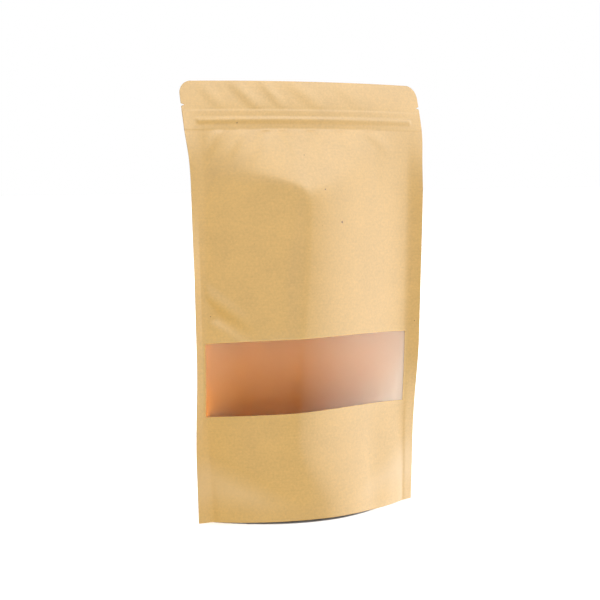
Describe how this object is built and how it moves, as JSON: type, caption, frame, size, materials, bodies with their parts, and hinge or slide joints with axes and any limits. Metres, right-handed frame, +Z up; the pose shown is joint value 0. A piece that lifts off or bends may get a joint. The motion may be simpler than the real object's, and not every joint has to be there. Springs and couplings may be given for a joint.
{
  "type": "kraft paper stand-up pouch with window",
  "caption": "Empty kraft paper stand-up pouch, zipped shut, with a frosted window band across its front, side seals, tear notches and an opened bottom gusset.",
  "frame": {"origin": "on the floor, under the middle of the pouch's box", "axes": "+Z up along the pouch's height, -Y towards the front with the window, +X to the right of someone who looks at that front"},
  "size_m": [0.1598, 0.0562, 0.26],
  "materials": {
    "kraft_paper": "matte natural kraft paper with fine fibres",
    "frosted_film": "frosted translucent film"
  },
  "bodies": {
    "root": {"pouch_body": "kraft_paper", "window_film": "frosted_film", "bottom_gusset": "kraft_paper"}
  },
  "joints": []
}
